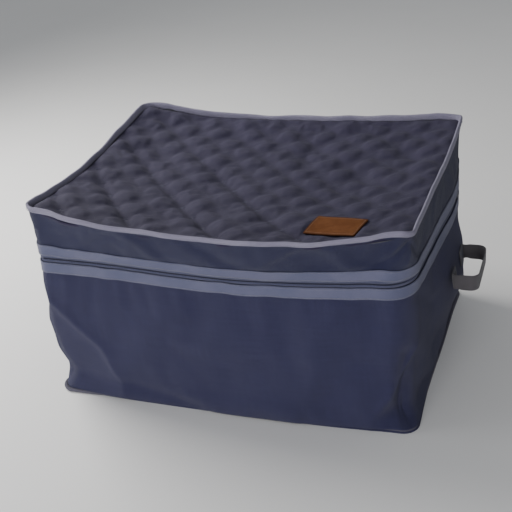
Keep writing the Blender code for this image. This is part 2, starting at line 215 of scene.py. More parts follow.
def ribbed(name, deep, base, light, pitch, relief, roughness=0.75, across_ribs=False, sheen=0.2):
    """Grosgrain or webbing: raised ribs one way and fine threads the other."""
    s = Shader(name)
    across, up, _ = s.axes()
    if across_ribs:
        across, up = up, across
    rib = s.math("ABSOLUTE", s.wave(across, 2 * pitch))
    thread = s.wave(up, 0.6 * pitch)
    height = s.math("ADD", rib, s.math("MULTIPLY", thread, 0.25))
    shade = s.ramp(s.noise(22, 4), 0.3, 0.7)
    tone = s.mix(shade, base, light)
    s.set(Base_Color=s.mix(s.ramp(rib, 0.0, 0.7), deep, tone))
    s.set(Normal=s.bump(s.noise(90, 2), relief, 0.5, s.bump(height, relief)))
    s.set(Roughness=roughness, Sheen_Weight=sheen, Sheen_Roughness=0.4)
    s.out.inputs["Specular IOR Level"].default_value = 0.3
    return s.material


def twill(name, deep, base, pitch, relief, roughness=0.7):
    """Diagonal ribs that turn back every few threads, as in zip tape and webbing."""
    s = Shader(name)
    across, up, _ = s.axes()
    zigzag = s.math("PINGPONG", up, 4 * pitch)
    rib = s.wave(s.math("ADD", across, zigzag), pitch)
    shade = s.ramp(s.noise(30, 3), 0.3, 0.7)
    share = s.math("MULTIPLY", s.ramp(rib, -0.8, 0.8), s.math("ADD", 0.6, s.math("MULTIPLY", shade, 0.4)))
    s.set(Base_Color=s.mix(share, deep, base))
    s.set(Normal=s.bump(rib, relief))
    s.set(Roughness=roughness, Sheen_Weight=0.15)
    return s.material


def felt(name, deep, base, scale, relief, roughness=0.9):
    """Non-woven cloth or pressed board: short fibres with no direction."""
    s = Shader(name)
    fibres = s.noise(scale, 6, roughness=0.75)
    spots = s.noise(scale / 12, 3)
    s.set(Base_Color=s.mix(s.ramp(s.math("ADD", fibres, spots), 0.7, 1.3), deep, base))
    s.set(Normal=s.bump(fibres, relief), Roughness=roughness, Sheen_Weight=0.2)
    return s.material


def leather(name, half_length, half_width):
    """Grained hide in patches of shade, darker at the cut edge."""
    s = Shader(name)
    grain = s.cells(900, s.flat)
    pores = s.noise(1500, 4, s.flat)
    patches = s.noise(45, 4, s.flat)
    across, up, _ = s.axes()
    from_side = s.math("SUBTRACT", half_length, s.math("ABSOLUTE", across))
    from_end = s.math("SUBTRACT", half_width, s.math("ABSOLUTE", up))
    edge = s.ramp(s.math("MINIMUM", from_side, from_end), 0.0, 3 * MM)
    hide = s.mix(s.ramp(patches, 0.3, 0.7), colour(100, 60, 28), colour(124, 79, 41))
    hide = s.mix(s.ramp(grain, 0.0, 0.25), colour(84, 48, 24), hide)
    s.set(Base_Color=s.mix(edge, colour(62, 34, 16), hide))
    height = s.math("ADD", s.ramp(grain, 0.0, 0.3), s.math("MULTIPLY", pores, 0.5))
    s.set(Normal=s.bump(height, 0.15 * MM))
    s.set(Roughness=s.math("SUBTRACT", 0.9, s.math("MULTIPLY", patches, 0.2)))
    s.out.inputs["Specular IOR Level"].default_value = 0.08
    return s.material


def metal(name):
    """Dark plated metal, scratched and worn bright in places."""
    s = Shader(name)
    scratches = s.noise(900, 3, None, (1, 0.05, 1))
    worn = s.ramp(s.noise(260, 3), 0.45, 0.75)
    s.set(Base_Color=s.mix(worn, colour(46, 46, 50), colour(120, 118, 116)), Metallic=1.0)
    s.set(Roughness=s.math("ADD", 0.28, s.math("MULTIPLY", scratches, 0.25)))
    s.set(Normal=s.bump(scratches, 0.02 * MM))
    return s.material


def nylon(name):
    s = Shader(name)
    s.set(Base_Color=s.mix(s.noise(700, 2), colour(44, 45, 66), colour(68, 70, 96)))
    s.set(Roughness=0.38, Normal=s.bump(s.noise(2500, 2), 0.03 * MM))
    return s.material


CANVAS = woven("navy_canvas", colour(27, 27, 51), colour(51, 51, 82), colour(59, 59, 90), 0.9 * MM, 0.16 * MM,
               sheen=0.07, slub=0.3)
# Painted shade: the lid's skirt is the same navy canvas as the walls, made darker to stand in for the shade
# on this downward-facing band below the lip.
SHADED_SKIRT_CANVAS = woven("navy_skirt_painted_shade", colour(22, 23, 46), colour(39, 41, 71), colour(46, 48, 79), 0.9 * MM, 0.16 * MM,
              sheen=0.1, slub=0.3)
QUILT = woven("quilted_navy", colour(27, 23, 44), colour(50, 44, 74), colour(58, 51, 83), 0.6 * MM, 0.08 * MM,
              roughness=0.8, sheen=0.06, slub=0.15)
GREY = ribbed("grey_grosgrain", colour(56, 57, 78), colour(88, 91, 116), colour(101, 102, 125), 1.1 * MM,
              0.22 * MM, sheen=0.12)
# Painted shade: the base's flange is the same grey grosgrain as the other tapes, made darker for the shade it
# lies in, tucked under the swelling walls.
SHADED_BASE_BINDING = ribbed("grey_base_binding_painted_shade", colour(50, 49, 60), colour(76, 74, 88), colour(86, 83, 97),
                      1.1 * MM, 0.22 * MM, sheen=0.06)
# Painted light: the lid's top binding is the same grey grosgrain as the other tapes, made lighter for the
# light that falls on the lid's top edge.
LIT_BINDING = ribbed("grey_binding_painted_light", colour(86, 83, 100), colour(124, 120, 140), colour(136, 132, 150), 1.1 * MM,
                 0.22 * MM, sheen=0.12)
LINING = felt("lining_cloth", colour(40, 40, 48), colour(70, 70, 80), 1400, 0.1 * MM)
FELT = felt("divider_felt", colour(46, 47, 58), colour(84, 86, 100), 1100, 0.25 * MM)
LEATHER_THREAD = felt("leather_thread", colour(96, 66, 44), colour(150, 112, 78), 2500, 0.02 * MM, 0.6)
BOARD = felt("base_board", colour(58, 54, 50), colour(84, 80, 74), 500, 0.12 * MM)
TAPE = twill("zip_tape", colour(50, 52, 80), colour(80, 84, 116), 0.7 * MM, 0.12 * MM)
COIL = nylon("zip_coil")
METAL = metal("zip_metal")
WEBBING = ribbed("webbing", colour(30, 28, 30), colour(68, 66, 70), colour(84, 81, 84), 1.5 * MM, 0.3 * MM,
                 roughness=0.7)
THREAD = felt("thread", colour(52, 54, 76), colour(84, 88, 112), 2500, 0.02 * MM, 0.6)
GREY_THREAD = felt("grey_thread", colour(84, 84, 94), colour(130, 130, 142), 2500, 0.02 * MM, 0.6)

# The outline: stations that run round the bag, counter-clockwise from the rear of the left side

SIDES = {
    "left": (Vector((-1, 0)), HALF_X, HALF_Y),
    "front": (Vector((0, -1)), HALF_Y, HALF_X),
    "right": (Vector((1, 0)), HALF_X, HALF_Y),
    "back": (Vector((0, 1)), HALF_Y, HALF_X),
}
ORDER = list(SIDES)
ROUND = 0.042
RADIUS_LEVELS = (0.0, 0.015, 0.035, 0.07, 0.12, 0.17, 0.231, 0.27, 0.30, 0.31)
REAR_RADII = (0.020, 0.026, 0.032, 0.040, 0.042, 0.042, 0.042, 0.034, 0.018, 0.012)
RADII = {
    "left": (0.011, 0.018, 0.026, 0.014, 0.009, 0.009, 0.010, 0.010, 0.010, 0.009),
    "front": (0.018, 0.024, 0.030, 0.032, 0.034, 0.038, 0.046, 0.030, 0.016, 0.011),
    "right": REAR_RADII,
    "back": REAR_RADII,
}

# How far each side swells out and sags, in millimetres, at these levels and shares of its half length
LEVELS = (0.0, 0.012, 0.06, 0.12, 0.17, 0.205, 0.231, 0.265, 0.31)
SHARES = (-1.0, -0.6, -0.2, 0.2, 0.6, 1.0)
SWELL = {
    "left": (
        (0, 0, 1, 1, 1, 1), (0, 2, 3, 3, 3, 6), (0, 8, 13, 13, 11, 17), (0, 18, 30, 30, 21, 19),
        (0, 12, 20, 20, 13, 5), (0, 0, 0, 0, 0, 0), (0, 0, 0, 0, 0, 0), (0, 2, 3, 3, 3, 3),
        (6, 10, 8, 5, 8, 11),
    ),
    "front": (
        (10, 14, 14, 14, 12, 6), (13, 18, 20, 19, 15, 4), (16, 16, 19, 18, 15, 1), (16, 16, 20, 19, 15, 1),
        (13, 13, 15, 15, 12, 0), (12, 8, 10, 11, 8, 0), (11, 6, 8, 10, 6, 0), (10, 16, 16, 17, 11, 0),
        (8, 29, 24, 28, 24, 0),
    ),
    "right": (
        (5, 2, 1, 1, 0, 0), (3, 1, 0, 2, 2, 0), (0, -1, 1, 9, 9, 0), (0, 5, 22, 33, 23, 2),
        (0, 11, 22, 27, 19, 3), (0, 5, 9, 14, 14, 4), (0, 3, 6, 13, 14, 4), (0, 3, 5, 11, 12, 4),
        (0, 0, 1, 3, 4, 4),
    ),
    "back": (
        (0, 0, 0, 0, 0, 0), (0, 1, 1, 1, 1, 0), (0, 3, 5, 5, 3, 0), (2, 7, 11, 11, 7, 0),
        (3, 5, 8, 8, 5, 0), (1, 0, 0, 0, 0, 0), (0, 0, 0, 0, 0, 0), (2, 1, 2, 2, 1, 0), (4, 4, 4, 4, 4, 4),
    ),
}
SAG_LEVELS = (0.0, 0.03, 0.231, 0.31)
SAG = {
    "left": ((0, 1, 1, 1, 1, 0), (0, 0, 0, 0, 0, 0), (0, 0, 0, 0, 0, 0), (-11, -1, 7, 9, 6, -1)),
    "front": ((0, 3, 4, 4, 3, 0), (0, 1, 2, 2, 1, 0), (0, 3, 7, 8, 5, 0), (-1, 8, 16, 17, 12, 0)),
    "right": ((0, 1, 1, 1, 1, 0), (0, 0, 0, 0, 0, 0), (0, 1, 2, 1, 0, 0), (0, 2, 2, 1, -3, -8)),
    "back": ((0, 1, 1, 1, 1, 0), (0, 0, 0, 0, 0, 0), (0, 0, 0, 0, 0, 0), (-8, -1, 3, 6, 2, -11)),
}
TABLE_LEVEL_STEP = 0.0025
TABLE_SHARES = np.linspace(-1, 1, 81)
TABLE_LEVELS = np.arange(0, 0.3151, TABLE_LEVEL_STEP)


def blurred(values, reach, axis):
    """A moving bell-shaped average, with the ends repeated."""
    weights = np.exp(-np.linspace(-2, 2, 2 * reach + 1) ** 2)
    weights /= weights.sum()
    padding = [(reach, reach) if a == axis else (0, 0) for a in range(values.ndim)]
    padded = np.pad(values, padding, mode="edge")
    return np.apply_along_axis(lambda line: np.convolve(line, weights, mode="valid"), axis, padded)


def table(rows, levels):
    """A fine smooth table, in metres, from a coarse one in millimetres."""
    wide = np.array([np.interp(TABLE_SHARES, SHARES, row) for row in rows])
    fine = np.array([np.interp(TABLE_LEVELS, levels, column) for column in wide.T]).T
    keep_ends = fine[:, [0, -1]].copy()
    fine = blurred(blurred(fine, 10, 1), 3, 0)
    ease = np.clip((1 - abs(TABLE_SHARES)) / 0.15, 0, 1)
    ends = np.where(TABLE_SHARES < 0, keep_ends[:, :1], keep_ends[:, 1:])
    return MM * (ends + (fine - ends) * ease)


SWELL_TABLE = {side: table(rows, LEVELS) for side, rows in SWELL.items()}
SAG_TABLE = {side: table(rows, SAG_LEVELS) for side, rows in SAG.items()}


def look_up(tables, side, share, level):
    """Bilinear reading of a side's table, for arrays of shares (S,) and levels (R,)."""
    column = (share + 1) / 2 * (len(TABLE_SHARES) - 1)
    row = np.clip(level / TABLE_LEVEL_STEP, 0, len(TABLE_LEVELS) - 1.001)
    c = np.clip(column.astype(int), 0, len(TABLE_SHARES) - 2)
    r = row.astype(int)
    u, v = (column - c)[None, :], (row - r)[:, None]
    t = tables[side]
    low = t[r][:, c] * (1 - u) + t[r][:, c + 1] * u
    high = t[r + 1][:, c] * (1 - u) + t[r + 1][:, c + 1] * u
    return low * (1 - v) + high * v


def centre_of(side):
    """Distance round the outline from the left side's middle to this side's middle."""
    at = 0.0
    for name, following in zip(ORDER, ORDER[1:] + ORDER[:1]):
        if name == side:
            return at
        at += SIDES[name][2] - 2 * ROUND + ROUND * math.pi / 2 + SIDES[following][2]
    return at


GIRTH = 4 * (HALF_X + HALF_Y - 2 * ROUND) + math.tau * ROUND


def from_middle(run, side):
    """Each station's distance along the outline from the middle of a side, the shorter way round."""
    return (run.around - centre_of(side) + GIRTH / 2) % GIRTH - GIRTH / 2


class Run:
    """Stations along part of the outline: pieces such as ("left", -1, 1) or ("left corner", 0, 90)."""

    def __init__(self, *parts, step=0.005):
        self.side, share, turn = [], [], []
        for name, first, last in parts:
            side = name.split()[0]
            is_corner = name.endswith("corner")
            scale = math.radians(1) * ROUND if is_corner else SIDES[side][2] - ROUND
            count = max(2, round(abs(last - first) * scale / step))
            for value in np.linspace(first, last, count + 1)[1 if self.side else 0:]:
                self.side.append(side)
                share.append(1.0 if is_corner else value)
                turn.append(math.radians(value) if is_corner else 0.0)
        self.share, self.turn = np.array(share), np.array(turn)
        self.outward = np.array([SIDES[side][0] for side in self.side])
        self.reach = np.array([SIDES[side][1] for side in self.side])
        self.half = np.array([SIDES[side][2] for side in self.side])
        centre = np.array([centre_of(side) for side in self.side])
        self.around = centre + self.share * (self.half - ROUND) + self.turn * ROUND
        laps = np.concatenate([[0], np.cumsum(np.diff(self.around) < -0.1)])
        self.around = self.around + GIRTH * laps
        along = np.stack([-self.outward[:, 1], self.outward[:, 0]], 1)
        cos, sin = np.cos(self.turn)[:, None], np.sin(self.turn)[:, None]
        self.along, self.normal = along, self.outward * cos + along * sin
        self.tangent = along * cos - self.outward * sin

    def without_last(self):
        """The same stations without the last, for a run that comes back to its start."""
        self.side = self.side[:-1]
        for field in ("share", "turn", "outward", "reach", "half", "around", "along", "normal", "tangent"):
            setattr(self, field, getattr(self, field)[:-1])
        return self

    def read(self, tables, level):
        """A table's values at each level and station: round a corner they pass from side to side."""
        values = np.zeros((len(level), len(self.share)))
        for i, side in enumerate(ORDER):
            here = np.array([name == side for name in self.side])
            if not here.any():
                continue
            value = look_up(tables, side, self.share[here], level)
            following = look_up(tables, ORDER[(i + 1) % 4], np.array([-1.0]), level)
            part = (self.turn[here] / (math.pi / 2))[None, :]
            values[:, here] = value * (1 - part) + following * part
        return values

    def at(self, levels, offset=0.0):
        """Points (levels, stations, 3) at a distance out from the bag's outer face."""
        level = np.clip(np.atleast_1d(np.array(levels, float)), 0, LIP_TOP)
        above = np.atleast_1d(np.array(levels, float)) - level
        after, before = (
            np.stack([
                np.interp(level, RADIUS_LEVELS, RADII[ORDER[ORDER.index(side) - i]]) for side in self.side
            ], 1) for i in (0, 1)
        )
        across = self.reach - after * (1 - np.cos(self.turn))
        part = (self.share + 1) / 2
        along = part * (self.half - after) - (1 - part) * (self.half - before) + after * np.sin(self.turn)
        out = self.read(SWELL_TABLE, level) + np.array(offset)
        flat = self.outward * across[..., None] + self.along * along[..., None] + self.normal * out[..., None]
        height = level[:, None] - self.read(SAG_TABLE, level) + above[:, None]
        return np.concatenate([flat, height[..., None]], 2)


ZIP_PARTS = (
    ("back corner", 45, 90), ("left", -1, 1), ("left corner", 0, 90), ("front", -1, 1),
    ("front corner", 0, 90), ("right", -1, 1), ("right corner", 0, 45),
)
RING_PARTS = tuple(part for side in ORDER for part in ((side, -1, 1), (side + " corner", 0, 90)))
BACK_PARTS = (("right corner", 45, 90), ("back", -1, 1), ("back corner", 0, 45))

# Meshes


def mesh_object(name, points, faces, material, uv=None):
    mesh = bpy.data.meshes.new(name)
    mesh.from_pydata([tuple(p) for p in points], [], faces)
    for one in [material] if isinstance(material, bpy.types.Material) else material:
        mesh.materials.append(one)
    mesh.polygons.foreach_set("use_smooth", [True] * len(mesh.polygons))
    if uv is not None:
        layer = mesh.uv_layers.new(name="flat")
        layer.data.foreach_set("uv", np.array(uv, np.float32).ravel())
    thing = bpy.data.objects.new(name, mesh)
    bpy.context.scene.collection.objects.link(thing)
    return thing


def skin(name, points, uv, material, around=False, across=False):
    """A grid of points (rows, columns, 3) as quads. around closes the columns, across the rows."""
    rows, columns = points.shape[:2]
    faces, corners = [], []
    for r in range(rows if across else rows - 1):
        for c in range(columns if around else columns - 1):
            quad = ((r, c), (r, c + 1), (r + 1, c + 1), (r + 1, c))
            faces.append([(a % rows) * columns + b % columns for a, b in quad])
            corners += [uv[a][b] for a, b in quad]
    return mesh_object(name, points.reshape(-1, 3), faces, material, corners)


def flat_uv(around, up):
    """UV in metres for a grid, from a distance along each column and each row."""
    return np.stack(np.meshgrid(around, up), 2)


def thicken(thing, thickness, side=-1.0, inner_material=0):
    solid = thing.modifiers.new("thickness", "SOLIDIFY")
    solid.thickness = thickness
    solid.offset = side
    solid.use_even_offset = False
    solid.material_offset = inner_material
    return thing


def soften(thing, levels=1):
    smooth = thing.modifiers.new("smooth", "SUBSURF")
    smooth.levels = levels
    smooth.render_levels = levels
    return thing


def inside_out(points, faces):
    """Whether a closed shape's faces look inwards."""
    volume = 0.0
    for face in faces:
        for b, c in zip(face[1:], face[2:]):
            volume += points[face[0]] @ np.cross(points[b], points[c])
    return volume < 0


def copies(name, shape, faces, places, tangents, normals, ups, material):
    """One mesh of many copies of a shape, whose points are (along, out, up)."""
    count, size = len(places), len(shape)
    turned = (
        shape[None, :, :1] * tangents[:, None, :]
        + shape[None, :, 1:2] * normals[:, None, :]
        + shape[None, :, 2:] * ups[:, None, :]
    )
    points = (places[:, None, :] + turned).reshape(-1, 3)
    if inside_out(points[:size], faces):
        faces = [face[::-1] for face in faces]
    every = [[index + size * k for index in face] for k in range(count) for face in faces]
    return mesh_object(name, points, every, material)


def bar(stops, sides=8):
    """A closed rounded bar along the third axis: stops are (place, half width, half depth)."""
    points, faces = [], []
    for place, width, depth in stops:
        for k in range(sides):
            angle = math.tau * k / sides
            points.append((width * math.cos(angle), depth * math.sin(angle), place))
    for r in range(len(stops) - 1):
        for k in range(sides):
            m = (k + 1) % sides
            faces.append([r * sides + k, r * sides + m, (r + 1) * sides + m, (r + 1) * sides + k])
    faces.append(list(range(sides))[::-1])
    faces.append([(len(stops) - 1) * sides + k for k in range(sides)])
    return np.array(points), faces


def stitches(name, lines, material, length=3.2 * MM, radius=0.28 * MM):
    """A stitch between every two neighbouring points of each line; lines are (points, normals)."""
    half = length / 2
    shape, faces = bar([(-half, 0.3 * radius, 0.3 * radius), (-0.7 * half, radius, radius),
                        (0.7 * half, radius, radius), (half, 0.3 * radius, 0.3 * radius)], 6)
    shape = shape[:, [2, 1, 0]]
    places, tangents, normals = [], [], []
    for points, outward in lines:
        step = points[1:] - points[:-1]
        places.append((points[1:] + points[:-1]) / 2)
        tangents.append(step / np.linalg.norm(step, axis=1)[:, None])
        normals.append(outward[:-1])
    places, tangents, normals = (np.concatenate(v) for v in (places, tangents, normals))
    ups = np.cross(tangents, normals)
    return copies(name, shape, faces, places, tangents, normals, ups, material)


def run_normals(run):
    return np.concatenate([run.normal, np.zeros((len(run.share), 1))], 1)


def ruffle(points, size, height, seed):
    """Smooth random rise and fall of a grid of points, as one number each, from waves of about a size."""
    flat = points.reshape(-1, 3)
    values = [noise.noise(Vector(p) / size + Vector((seed, 0, 0))) for p in flat]
    return height * np.array(values).reshape(points.shape[:2])


# Walls: folds are lines on a side, in millimetres: distance from the side's middle and level at both ends,
# then width and rise. A crease has a sharp crest, the other folds are round.

CREASES = {
    "front": (
        (-228, 163, -161, 84, 8, 3.4), (-161, 84, -146, 4, 8, 2.6), (286, 130, 188, 4, 7, 1.8),
    ),
    "right": (
        (-170, 126, -100, 124, 9, 1.5), (-180, 86, -80, 50, 9, 1.5),
    ),
}
FOLDS = {
    "front": (
        (262, 118, 236, 30, 13, -7), (232, 66, 205, 4, 8, 3), (190, 110, 120, 20, 20, -2.5),
        (-196, 209, -206, 150, 8, 1.3), (-160, 209, -168, 150, 9, -1.5), (-125, 209, -122, 165, 8, 1.3),
        (-88, 209, -80, 160, 8, -1.2), (-40, 209, -30, 170, 9, 1), (180, 209, 130, 120, 16, 2.6),
        (230, 205, 190, 110, 14, -2.2), (-160, 120, 60, 75, 30, -2.2), (-50, 30, 120, 24, 12, 2),
        (-150, 34, -40, 12, 9, -3.2), (-235, 256, -180, 297, 9, 2), (-165, 254, -120, 296, 8, -2),
        (-100, 297, -60, 256, 9, 2), (-10, 297, 40, 256, 10, -2), (70, 256, 110, 297, 9, 1.8),
        (150, 297, 190, 256, 9, 2.4), (262, 300, 218, 258, 6, -3.2), (275, 300, 262, 258, 5, 2.4),
    ),
    "right": (
        (-165, 200, -90, 150, 10, -3), (-150, 120, -80, 60, 12, 2.5), (-120, 60, -20, 20, 16, 3),
        (60, 200, 90, 120, 14, 2.5), (150, 190, 170, 80, 14, -4), (-192, 300, -150, 256, 6, -3),
        (-80, 256, -40, 296, 10, 2.2), (30, 296, 60, 256, 10, 2.4), (110, 256, 140, 297, 10, -2.4),
    ),
    "left": (
        (-60, 70, 50, 30, 18, 2.5), (80, 180, 120, 90, 14, -2.2), (-130, 170, -80, 100, 14, -2.2),
        (-60, 256, -20, 296, 10, 1.8), (70, 296, 110, 256, 10, 2),
    ),
    "back": (
        (-120, 190, -60, 90, 20, -2), (130, 180, 80, 80, 20, -2), (-100, 256, -60, 296, 12, 1.5),
        (90, 296, 130, 256, 12, 1.5),
    ),
}

# Tucked facets at the foot of each corner: the side and which end of it, then in millimetres how deep they
# lie at the corner, how far they step in at the crease, how far they reach past the corner, and the
# creases above them as distance and level at both ends
FACETS = (
    ("front", 1, 24, 6, 90, ((290, 136, 186, 0), (340, 136, 100, 122))),
    ("right", -1, 12, 3, 50, ((190, 80, 100, 40),)),
    ("front", -1, 18, 2, 70, ((228, 163, 88, 0), (182, 170, 146, 0))),
    ("left", 1, 8, 0, 70, ((190, 120, 130, 0),)),
    ("left", -1, 10, 0, 70, ((190, 120, 125, 0),)),
    ("right", 1, 10, 0, 70, ((190, 120, 120, 0),)),
    ("back", 1, 6, 0, 70, ((258, 110, 195, 0),)),
    ("back", -1, 6, 0, 70, ((258, 110, 195, 0),)),
)
TUCK_FOOT, TUCK_FULL = 4 * MM, 26 * MM
TUCK_STEP_WIDTH = 5 * MM


def folded(run, levels, folds, power):
    """How far folds push the cloth out at each level and station; power 1 is a sharp crest, 2 a round one."""
    push = np.zeros((len(levels), len(run.share)))
    height = np.array(levels)[:, None]
    for side, lines in folds.items():
        along = from_middle(run, side)[None, :]
        for s0, z0, s1, z1, width, rise in np.array(lines) * MM:
            line = np.array((s1 - s0, z1 - z0))
            share = np.clip(((along - s0) * line[0] + (height - z0) * line[1]) / (line @ line), 0, 1)
            away = np.hypot(along - s0 - share * line[0], height - z0 - share * line[1]) / width
            push += rise * np.exp(-(away**power))
    return push


def tucked(run, levels):
    """How far the corner tucks pull the cloth in at each level and station."""
    tuck = np.zeros((len(levels), len(run.share)))
    height = np.array(levels)[:, None]
    for side, end, depth, step, spread, creases in FACETS:
        along = end * from_middle(run, side)[None, :]
        corner = SIDES[side][2] - ROUND + ROUND * math.pi / 4
        inside = np.full_like(tuck, 1.1)
        from_crease = np.full_like(tuck, 1.0)
        for s0, z0, s1, z1 in np.array(creases) * MM:
            across = np.array((z0 - z1, s1 - s0)) / math.hypot(z0 - z1, s1 - s0)
            reach = (corner - s0) * across[0] - z0 * across[1]
            away = (along - s0) * across[0] + (height - z0) * across[1]
            inside = np.minimum(inside, away / reach)
            from_crease = np.minimum(from_crease, away)
        fade = np.clip(1 - (along - corner) / (spread * MM), 0, 1)
        stepped = 1 - np.exp(-np.maximum(from_crease, 0) / TUCK_STEP_WIDTH)
        tuck = np.maximum(tuck, (depth * np.clip(inside, 0, 1.1) + step * stepped) * MM * fade * fade)
    return tuck * np.clip((height - TUCK_FOOT) / (TUCK_FULL - TUCK_FOOT), 0.12, 1)


def simulate(thing, pins, frames, grow=0.0, pressure=0.0, gravity=0.0, stiffness=15.0, bending=0.5):
    """Cloth simulation that starts from the thing's shape and is applied to it. Pins are 0 to 1."""
    group = thing.vertex_groups.new(name="pin")
    for index in np.flatnonzero(pins > 0):
        group.add([int(index)], float(pins[index]), "REPLACE")
    cloth = thing.modifiers.new("cloth", "CLOTH")
    settings = cloth.settings
    settings.quality = 5
    settings.mass = 0.2
    settings.air_damping = 4
    settings.tension_stiffness = stiffness
    settings.compression_stiffness = stiffness
    settings.shear_stiffness = stiffness / 2
    settings.bending_stiffness = bending
    settings.vertex_group_mass = "pin"
    settings.shrink_min = -grow
    settings.shrink_max = -grow
    settings.use_pressure = pressure != 0
    settings.uniform_pressure_force = pressure
    settings.effector_weights.gravity = gravity
    cloth.point_cache.frame_start = 1
    cloth.point_cache.frame_end = frames
    for number in range(1, frames + 1):
        bpy.context.scene.frame_set(number)
    settled = thing.evaluated_get(bpy.context.evaluated_depsgraph_get())
    places = np.zeros(len(thing.data.vertices) * 3)
    settled.data.vertices.foreach_get("co", places)
    thing.modifiers.remove(cloth)
    thing.vertex_groups.clear()
    thing.data.vertices.foreach_set("co", places)
    bpy.context.scene.frame_set(1)


def settled_grid(thing):
    places = np.zeros(len(thing.data.vertices) * 3)
    thing.data.vertices.foreach_get("co", places)
    return places.reshape(-1, 3)


def move_points(thing, shift):
    places = settled_grid(thing) + shift.reshape(-1, 3)
    thing.data.vertices.foreach_set("co", places.ravel())
    thing.data.update()


CLOTH_INSET = 0.5 * MM
CLOTH_SHY = 0.6 * MM
HELD_FADE = 9 * MM
LONG_WAVE, SHORT_WAVE = (0.060, 2.2 * MM), (0.022, 0.5 * MM)


def cloth_band(name, run, levels, material, hold, seed):
    """A wall or skirt: the outline's shape with folds and soft unevenness, held near its seams.

    The creases and tucks come after the simulation, which would smooth them away.
    """
    plain = run.at(levels, -CLOTH_INSET)
    height = np.array(levels)[:, None]
    free = np.ones_like(plain[..., 0])
    for low, high in hold:
        away = np.maximum(low - height, height - high) / HELD_FADE
        free = free * np.clip(away, 0, 1)
    uneven = ruffle(plain, *LONG_WAVE, seed) + ruffle(plain, *SHORT_WAVE, seed + 9)
    points = run.at(levels, (folded(run, levels, FOLDS, 2) + uneven) * free - CLOTH_INSET)
    band = skin(name, points, flat_uv(run.around, levels), material)
    pins = np.where(free < 0.2, 1.0, 0.0)
    pins[:, [0, -1]] = 1.0
    simulate(band, pins.ravel(), 12, grow=0.003, pressure=0.15, stiffness=14.0, bending=4.0)
    crisp = (folded(run, levels, CREASES, 1) - tucked(run, levels)) * free
    move_points(band, crisp[..., None] * run_normals(run))
    thicken(band, WALL - CLOTH_SHY, -1.0, 1)
    return soften(band)


wrap = Run(*ZIP_PARTS)
back_run = Run(*BACK_PARTS)
ring = Run(*RING_PARTS).without_last()
BEHIND_FACING = 21 * MM
INTO_LIP = SKIRT_HEAD + 3.5 * MM
SEWN = 4 * MM
FOOT_SEAM, HEAD_SEAM = (-1, WALL_FOOT - SEWN), (INTO_LIP - SEWN, 1)
BELOW_ZIP, ABOVE_ZIP = ZIP - BEHIND_FACING, ZIP + BEHIND_FACING
wall_wrap = cloth_band("wall_wrap", wrap, np.linspace(WALL_FOOT, WALL_HEAD, 46), [CANVAS, LINING],
                       [FOOT_SEAM, (BELOW_ZIP, 1)], 1)
# The skirt wears the darker copy of the canvas: painted shade.
skirt_wrap = cloth_band("skirt_wrap", wrap, np.linspace(SKIRT_FOOT, INTO_LIP, 19), [SHADED_SKIRT_CANVAS, LINING],
                        [(-1, ABOVE_ZIP), HEAD_SEAM], 4)
back_panel = cloth_band("back_panel", back_run, np.linspace(WALL_FOOT, INTO_LIP, 65), [CANVAS, LINING],
                        [FOOT_SEAM, (BELOW_ZIP, ABOVE_ZIP), HEAD_SEAM], 7)

# Base: the cloth under the bag and the grey flange round it


PLATE_SHARES = (1, 0.9, 0.7, 0.45, 0.2, 0.02)


def plate(name, run, level, offset, material):
    """A flat cloth with the outline's shape, as rings that shrink to its middle."""
    edge = run.at([level], offset)[0]
    edge[:, 2] = level
    middle = np.array((0.0, 0.0, level))
    rings = np.stack([middle + (edge - middle) * share for share in PLATE_SHARES])
    return skin(name, rings, np.concatenate([rings, rings[:, :1]], 1)[..., :2], material, around=True)


def tube(name, run, profile, material, share=1.0, wobble=0.0):
    """A closed strip round the bag from a profile of (distance out, level).

    share narrows it at each station, and where that is near nothing it is tucked under the bag.
    """
    set_back = FLANGE_HIDDEN * np.clip(1 - share / TUCKED_SHARE, 0, 1)
    points = np.concatenate([run.at([level], out * share - set_back) for out, level in profile])
    if wobble:
        for axis, seed in ((1, 11), (2, 17)):
            points[..., axis] += ruffle(points[:1], 0.035, wobble, seed)
    girth = np.cumsum([0] + [math.dist(a, b) for a, b in zip(profile, profile[1:] + profile[:1])])
    around = np.append(run.around, 2 * run.around[-1] - run.around[-2])
    return skin(name, points, flat_uv(around, girth), material, around=True, across=True)


# How much of its full width the flange shows at these shares of each side's half length
FLANGE_STOPS = (-1, -0.72, 0.72, 1)
FLANGE_SHARE = {
    "left": (0.8, 0.7, 0.6, 0.6), "front": (0.6, 0.05, 0.0, 0.05), "right": (0.05, 0.1, 0.5, 0.8),
    "back": (0.8, 0.7, 0.7, 0.8),
}
FLANGE_HIDDEN = 3.5 * MM
TUCKED_SHARE = 0.3
base_cloth = thicken(plate("base_cloth", ring, 2.4 * MM, -0.6 * MM, CANVAS), 2.0 * MM)
flange_share = np.concatenate([
    np.interp(ring.share[np.array(ring.side) == side], FLANGE_STOPS, FLANGE_SHARE[side]) for side in ORDER
])
FLANGE = [(out * MM, up * MM) for out, up in (
    (-3.0, 0.0), (3.5, 0.0), (6.8, 0.2), (8.2, 1.1), (8.7, 2.4), (8.2, 3.6), (6.8, 4.6), (3.5, 4.8),
    (-3.0, 4.6),
)]
# The flange wears the darker copy of the grey tape: painted shade.
base_piping = tube("base_piping", ring, FLANGE, SHADED_BASE_BINDING, flange_share)
places = settled_grid(base_piping)
places[:, 2] = np.repeat([up for _, up in FLANGE], len(ring.share))
base_piping.data.vertices.foreach_set("co", places.ravel())

# Lip: the grey binding that stands round the lid's edge, folded over at the top
LIP = [(out * MM, LIP_TOP + up * MM) for out, up in (
    (1.0, -8.2), (1.7, -6.0), (1.9, -3.4), (1.6, -1.3), (0.6, -0.2), (-0.6, 0.0), (-1.8, -0.5),
    (-2.6, -2.0), (-2.9, -5.0), (-2.8, -8.0), (-2.5, -10.0),
)]
# The lip wears the lighter copy of the grey tape: painted light.
lid_lip = tube("lid_lip", ring, LIP, LIT_BINDING, wobble=2.0 * MM)
